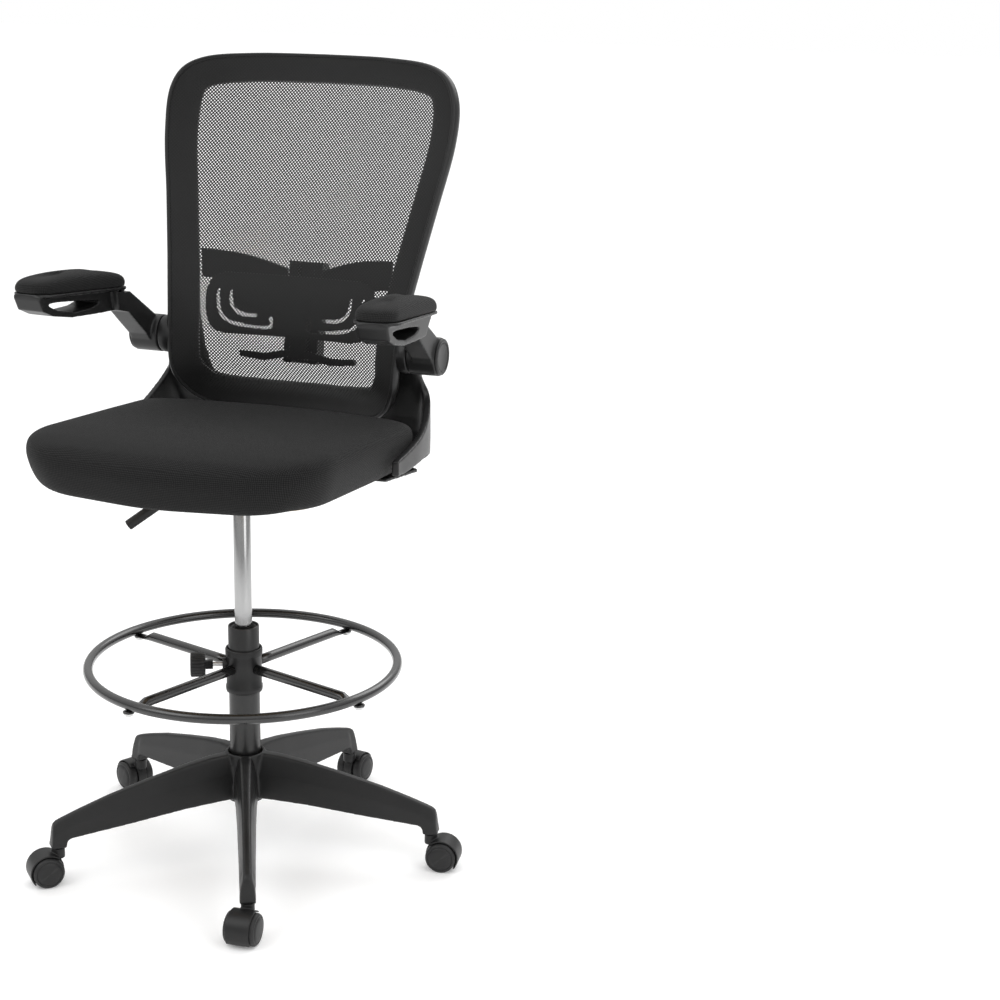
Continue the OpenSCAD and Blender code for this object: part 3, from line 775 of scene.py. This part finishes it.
def makeBase():
    parts = [lathe("hub", star["hub"], upright, 96, looped=True)]
    for leg in range(5):
        turn = Matrix.Rotation(math.radians(star["turn"] + 72 * leg), 4, "Z")
        rings = []
        for r in list(range(27, 290, 8)) + [292, 296, 298, 299.6, 300.4, 301.2, 302, 306, 310, 314, 317, 319, 320.6,
                                            322, 323.2, 324.2, 324.8]:
            top = np.interp(r, *zip(*star["top"]))
            low = np.interp(r, *zip(*star["bottom"]))
            wide = np.interp(r, *zip(*star["wide"]))
            thin = wide * star["narrow"]
            shape = [(-thin, top - 2.2), (-thin + 1.6, top - 0.3), (0, top), (thin - 1.6, top - 0.3), (thin, top - 2.2),
                     (thin + (wide - thin) * 0.72, low + (top - low) * 0.55), (wide, low + 1.6), (wide - 1.6, low),
                     (0, low), (-wide + 1.6, low), (-wide, low + 1.6),
                     (-thin - (wide - thin) * 0.72, low + (top - low) * 0.55)]
            rings.append([turn @ Vector((r * mm, x * mm, (z - back["drop"]) * mm)) for x, z in shape])
        parts.append(loft("leg", rings))
    mesh = withModifiers(
        joined("starBase", parts),
        ("REMESH", {"mode": "VOXEL", "voxel_size": 2.1 * mm}),
        ("SMOOTH", {"factor": 0.5, "iterations": 3}))
    addPiece("starBase", mesh, "base", "base_plastic", ("star_base",))


makeBase()
print("star base")

# ---- lumbar pad ----

lumbar = {"rows": [[842, 112], [846, 128], [854, 138], [880, 148], [912, 150], [930, 145], [940, 134], [944, 118]],
          "cell": 2.0, "near": 8.2, "thick": 4.2, "slit": 2.6,
          "outer": [[33, 872], [33, 860], [46, 856], [78, 858], [106, 864], [122, 878], [128, 902], [128, 914]],
          "inner": [[60, 876], [84, 877], [100, 886], [106, 904], [106, 912]]}


def makeLumbarPad():
    cell = lumbar["cell"]
    slits = [throughPoints(lumbar[key], 6) for key in ("outer", "inner")]
    index, points, faces = {}, [], []

    def corner(i, j):
        if (i, j) not in index:
            index[i, j] = len(points)
            points.append(backPoint(i * cell, 842 + j * cell, lumbar["near"]))
        return index[i, j]

    for j in range(51):
        z = 842 + (j + 0.5) * cell
        half = np.interp(z, *zip(*lumbar["rows"]))
        for i in range(-76, 76):
            x = abs((i + 0.5) * cell)
            if x > half or min(np.linalg.norm(slit - (x, z), axis=1).min() for slit in slits) < lumbar["slit"]:
                continue
            faces.append([corner(i, j), corner(i + 1, j), corner(i + 1, j + 1), corner(i, j + 1)])
    mesh = bpy.data.meshes.new("lumbarPad")
    mesh.from_pydata([tuple(p) for p in points], [], faces)
    mesh.update()
    mesh = withModifiers(
        mesh,
        ("SMOOTH", {"factor": 0.5, "iterations": 6}),
        ("SOLIDIFY", {"thickness": lumbar["thick"] * mm, "offset": -1.0}),
        ("SMOOTH", {"factor": 0.35, "iterations": 2}))
    addPiece("lumbarPad", mesh, "lumbar", "lumbar_pad", ("lumbar_pad",))


makeLumbarPad()

# ---- lumbar crossbar, a swept bar with a groove along each wing ----

crossbar = {"middle": [30, 914, 244, 60], "end": [168, 951, 206, 46], "thick": 13.0,
            "section": [[0.5, 0.1], [0.5, 0.85], [0.44, 1.0], [0.02, 1.0], [-0.01, 0.86], [-0.04, 0.86], [-0.07, 0.94],
                        [-0.44, 0.86], [-0.5, 0.7], [-0.5, 0.1], [-0.44, 0], [0.44, 0]]}


def makeCrossbar():
    wings = []
    for sign in (1, -1):
        rings = []
        for step in range(25):
            t = step / 24
            (x0, z0, y0, h0), (x1, z1, y1, h1) = crossbar["middle"], crossbar["end"]
            x, y, high = x0 + (x1 - x0) * t, y0 + (y1 - y0) * t, h0 + (h1 - h0) * t
            z = z0 + (z1 - z0) * t + 7 * math.sin(math.pi * t)
            thick = crossbar["thick"] - 4 * t
            rings.append([(sign * (x + deep * thick * 0.25) * mm, (y + deep * thick) * mm,
                           (z + rise * high - back["drop"]) * mm) for rise, deep in crossbar["section"]])
        wings.append(loft("wing", rings))
    mesh = withModifiers(joined("lumbarCrossbar", wings), ("BEVEL", {"width": 0.8 * mm, "segments": 2,
                                                                     "angle_limit": math.radians(30)}))
    addPiece("lumbarCrossbar", mesh, "seat", "frame_plastic", ("lumbar_crossbar",), smooth=False)
    mesh.polygons.foreach_set("use_smooth", [True] * len(mesh.polygons))


makeCrossbar()
print("lumbar")

# ---- arm brackets ----

# Columns round the corner of the seat: x, y of the rear face, lowest and highest point, share of the lean, thickness
bracket = {
    "columns": [[141, 0, 690, 738, 0, 15], [146, 0, 672, 752, 0, 17], [158, 0, 652, 800, 0, 17],
                [170, 0, 647, 884, 0, 17], [192, 0, 646, 893, 0, 17], [214, -2, 647, 884, 0, 17],
                [228, -10, 655, 800, 0.3, 16], [241, -28, 665, 764, 0.8, 14], [249, -52, 673, 742, 1, 12],
                [254, -80, 675, 724, 1, 10.5], [258, -118, 673, 711, 1, 10], [261, -170, 673, 704, 1, 10],
                [262.5, -212, 675, 700.5, 1, 10], [263, -226, 677, 699, 1, 9]],
    "lean": [[646, 230], [668, 236], [693, 241], [720, 235], [745, 225], [779, 211], [800, 204], [830, 201], [870, 200],
             [893, 200]],
    "boss": [[178, 188, 824, 20], [188, 183, 829, 25], [198, 177, 832.5, 28.6], [206, 173, 834, 30.4],
             [211, 172, 834, 31], [219.6, 172, 834, 31], [220.8, 172, 834, 30]],
    "plate": [[118, 44], [226, 50], [240, 150], [200, 186], [150, 186], [118, 150]],
}


def makeBracket(side, sign):
    columns = throughPoints(bracket["columns"], 6)
    count = 41
    points = []
    for x, y, low, high, share, thick in columns:
        for k in range(count):
            z = low + (high - low) * k / (count - 1)
            lean = np.interp(z, *zip(*bracket["lean"]))
            rear = lean * (1 - share) + 232 * share + y
            points.append((sign * (x - thick / 2 * share) * mm, (rear - thick / 2 * (1 - share)) * mm,
                           (z - back["drop"]) * mm))
    faces = [(i * count + j, (i + 1) * count + j, (i + 1) * count + j + 1, i * count + j + 1)
             for i in range(len(columns) - 1) for j in range(count - 1)]
    shell = bpy.data.meshes.new("shell")
    shell.from_pydata(points, [], faces)
    shell.update()
    shell = withModifiers(shell, ("SOLIDIFY", {"thickness": 11.5 * mm, "offset": 0.0}))
    boss = loft("boss", [[(sign * x * mm, (y + r * math.cos(t)) * mm, (z - back["drop"] + r * math.sin(t)) * mm)
                          for t in np.linspace(0, 2 * math.pi, 48, endpoint=False)] for x, y, z, r in bracket["boss"]])
    low = Matrix.Translation((0, 0, (seat["low"] - back["drop"]) * mm)) @ Matrix.Rotation(
        math.radians(-seat["tilt"]), 4, "X")
    plate = loft("plate", [[low @ Vector((sign * x * mm, y * mm, z * mm)) for x, y in bracket["plate"]]
                           for z in (-6.5, -0.5)])
    name = f"armBracket{side.title()}"
    mesh = withModifiers(
        joined(name, [shell, boss, plate]),
        ("REMESH", {"mode": "VOXEL", "voxel_size": 1.7 * mm}),
        ("SMOOTH", {"factor": 0.5, "iterations": 7}))
    addPiece(name, mesh, "seat", "bracket_plastic", (f"arm_bracket_{side}",))


makeBracket("left", 1)
makeBracket("right", -1)
print("arm brackets")

# ---- moulded pieces ----

softPieces = [
    ("armBodyLeft", "arm_left", 1.6, 6, "arm_plastic"),
    ("armBodyRight", "arm_right", 1.6, 6, "arm_plastic"),
    ("lumbarHousing", "lumbar_housing", 1.2, 3, "lumbar_plastic"),
    ("lumbarSlider", "lumbar_slider", 1.4, 3, "lumbar_plastic"),
    ("lumbarHandle", "lumbar_handle", 0.9, 4, "lumbar_plastic"),
    ("seatMechanism", "seat_mechanism", 2.0, 3, "mechanism_black"),
    ("heightLever", "height_lever", 0.8, 3, "mechanism_black"),
    ("leverGrip", "height_lever_grip", 0.9, 5, "grip_plastic"),
]
for number in range(1, 6):
    softPieces.append((f"casterHood{number}", f"caster_hood_{number}", 0.9, 5, "base_plastic"))
for name, node, voxel, rounds, slot in softPieces:
    softened(name, node, voxel * mm, rounds, slot)
print("moulded pieces", len(softPieces))

# ---- bolts ----

bolts = {"headRadius": 6.6, "headHeight": 3.6, "washerRadius": 8.0, "washerHeight": 1.0,
         "seat": [[80, 90], [80, -90], [-80, 90], [-80, -90], [140, 70], [140, 120], [190, 70], [190, 120],
                  [-140, 70], [-140, 120], [-190, 70], [-190, 120]]}


# Hexagon heads with washers, standing upright on the given points
def boltGroup():
    group = bpy.data.node_groups.new("hexBolts", "GeometryNodeTree")
    face = group.interface
    face.new_socket(name="Geometry", in_out="INPUT", socket_type="NodeSocketGeometry")
    keys = {}
    for name in ("Head radius", "Head height", "Washer radius", "Washer height"):
        keys[name] = face.new_socket(name=name, in_out="INPUT", socket_type="NodeSocketFloat").identifier
    keys["Material"] = face.new_socket(name="Material", in_out="INPUT", socket_type="NodeSocketMaterial").identifier
    face.new_socket(name="Geometry", in_out="OUTPUT", socket_type="NodeSocketGeometry")
    start, end = group.nodes.new("NodeGroupInput"), group.nodes.new("NodeGroupOutput")
    links = group.links
    both = makeNode(group, "GeometryNodeJoinGeometry")
    for part, sides in (("Washer", 32), ("Head", 6)):
        body = makeNode(group, "GeometryNodeMeshCylinder", Vertices=sides)
        links.new(start.outputs[part + " radius"], body.inputs["Radius"])
        links.new(start.outputs[part + " height"], body.inputs["Depth"])
        half = makeNode(group, "ShaderNodeMath", {"operation": "MULTIPLY"})
        half.inputs[1].default_value = -0.5
        links.new(start.outputs[part + " height"], half.inputs[0])
        lower = half.outputs[0]
        if part == "Head":
            total = makeNode(group, "ShaderNodeMath", {"operation": "SUBTRACT"})
            links.new(half.outputs[0], total.inputs[0])
            links.new(start.outputs["Washer height"], total.inputs[1])
            lower = total.outputs[0]
        offset = makeNode(group, "ShaderNodeCombineXYZ")
        links.new(lower, offset.inputs[2])
        move = makeNode(group, "GeometryNodeTransform")
        links.new(body.outputs["Mesh"], move.inputs["Geometry"])
        links.new(offset.outputs[0], move.inputs["Translation"])
        links.new(move.outputs[0], both.inputs[0])
    place = makeNode(group, "GeometryNodeInstanceOnPoints")
    real = makeNode(group, "GeometryNodeRealizeInstances")
    paint = makeNode(group, "GeometryNodeSetMaterial")
    links.new(start.outputs["Geometry"], place.inputs["Points"])
    links.new(both.outputs[0], place.inputs["Instance"])
    links.new(place.outputs[0], real.inputs[0])
    links.new(real.outputs[0], paint.inputs["Geometry"])
    links.new(start.outputs["Material"], paint.inputs["Material"])
    links.new(paint.outputs[0], end.inputs["Geometry"])
    return group, keys


def makeBolts():
    group, keys = boltGroup()
    settings = {keys["Head radius"]: bolts["headRadius"] * mm, keys["Head height"]: bolts["headHeight"] * mm,
                keys["Washer radius"]: bolts["washerRadius"] * mm, keys["Washer height"]: bolts["washerHeight"] * mm,
                keys["Material"]: materials["bright_steel"]}
    low = Matrix.Translation((0, 0, (seat["low"] - back["drop"]) * mm)) @ Matrix.Rotation(
        math.radians(-seat["tilt"]), 4, "X")
    underSeat = [low @ Vector((x * mm, y * mm, -7 * mm)) for x, y in bolts["seat"]]
    underRing = [Vector((ring["radius"] * mm * math.cos(t), ring["radius"] * mm * math.sin(t), ring["tab_z"] * mm))
                 for t in (math.radians(ring["turn"] + 90 * k) for k in range(4))]
    for name, points, body, node in (("seatBolts", underSeat, "seat", "seat_bolts"),
                                     ("ringBolts", underRing, "foot_ring", "ring_bolts")):
        mesh = bpy.data.meshes.new(name)
        mesh.from_pydata([tuple(p) for p in points], [], [])
        mesh = withModifiers(mesh, ("NODES", {"node_group": group, **settings}))
        addPiece(name, mesh, body, "bright_steel", (node,), smooth=False)


makeBolts()
print("bolts")

# ---- stage, light and camera ----

view = {"azimuth": 26.3, "elevation": 15.68, "distance": 3.162, "lens": 71.2, "target": (0, 0, 0.587),
        "across": 261.7, "down": 3.6, "roll": 0.9, "focal": 2003.0}


def makeStage():
    mesh = meshFrom("floor", [(-30, -30, 0), (30, -30, 0), (30, 30, 0), (-30, 30, 0)], [(0, 1, 2, 3)])
    floor = bpy.data.objects.new("floor", mesh)
    scene.collection.objects.link(floor)
    material, tree, shader = startMaterial("paleFloor", Roughness=0.7, Emission_Color=(1, 1, 1, 1), Emission_Strength=0.14)
    shade = ramp(tree, noise(tree, 2, 2), [(0.3, (0.93, 0.93, 0.93)), (0.7, (0.95, 0.95, 0.95))])
    tree.links.new(shade, shader.inputs["Base Color"])
    mesh.materials.append(material)


def makeLight(name, place, aim, size, power):
    light = bpy.data.lights.new(name, "AREA")
    light.shape = "RECTANGLE"
    light.size, light.size_y = size
    light.energy = power
    holder = bpy.data.objects.new(name, light)
    scene.collection.objects.link(holder)
    holder.location = place
    holder.rotation_euler = (Vector(aim) - Vector(place)).to_track_quat("-Z", "Y").to_euler()


def makeCamera():
    azimuth, elevation = math.radians(view["azimuth"]), math.radians(view["elevation"])
    behind = Vector((math.sin(azimuth) * math.cos(elevation), -math.cos(azimuth) * math.cos(elevation),
                     math.sin(elevation)))
    right = Vector((math.cos(azimuth), math.sin(azimuth), 0))
    look = -behind
    up = right.cross(look)
    place = Vector(view["target"]) + behind * view["distance"]
    yaw = math.atan(view["across"] / view["focal"])
    pitch = math.atan(view["down"] / view["focal"])
    look, right = look * math.cos(yaw) + right * math.sin(yaw), right * math.cos(yaw) - look * math.sin(yaw)
    look, up = look * math.cos(pitch) + up * math.sin(pitch), up * math.cos(pitch) - look * math.sin(pitch)
    roll = math.radians(view["roll"])
    right, up = right * math.cos(roll) - up * math.sin(roll), up * math.cos(roll) + right * math.sin(roll)
    camera = bpy.data.cameras.new("camera")
    camera.lens = view["lens"]
    camera.sensor_width = 36
    holder = bpy.data.objects.new("camera", camera)
    scene.collection.objects.link(holder)
    holder.matrix_world = Matrix((
        (right.x, up.x, -look.x, place.x), (right.y, up.y, -look.y, place.y),
        (right.z, up.z, -look.z, place.z), (0, 0, 0, 1)))
    scene.camera = holder


makeStage()
makeLight("keyLight", (-1.8, -2.4, 3.0), (0, 0, 0.6), (2.2, 2.2), 34)
makeLight("fillLight", (3.0, -1.4, 1.8), (0, 0, 0.7), (1.6, 2.4), 22)
makeLight("rimLight", (1.0, 2.6, 2.6), (0, 0, 0.7), (2.4, 1.4), 26)


# White behind the chair; a softer room with darker sides is what the surfaces reflect
def makeWorld():
    world = bpy.data.worlds.new("studio")
    scene.world = world
    world.use_nodes = True
    tree = world.node_tree
    room, out = tree.nodes["Background"], tree.nodes["World Output"]
    coords = makeNode(tree, "ShaderNodeTexCoord")
    parts = makeNode(tree, "ShaderNodeSeparateXYZ")
    tree.links.new(coords.outputs["Generated"], parts.inputs[0])
    height = Field(tree, parts.outputs[2]) * 0.5 + 0.5
    tree.links.new(ramp(tree, height, [(0.3, [0.7] * 3), (0.5, [0.4] * 3), (0.66, [0.75] * 3), (0.9, [1.25] * 3)]),
                   room.inputs[0])
    plain = makeNode(tree, "ShaderNodeBackground")
    plain.inputs[0].default_value = (1, 1, 1, 1)
    path = makeNode(tree, "ShaderNodeLightPath")
    mix = makeNode(tree, "ShaderNodeMixShader")
    tree.links.new(path.outputs["Is Camera Ray"], mix.inputs[0])
    tree.links.new(room.outputs[0], mix.inputs[1])
    tree.links.new(plain.outputs[0], mix.inputs[2])
    tree.links.new(mix.outputs[0], out.inputs[0])


makeWorld()
scene.view_settings.view_transform = "Standard"
makeCamera()
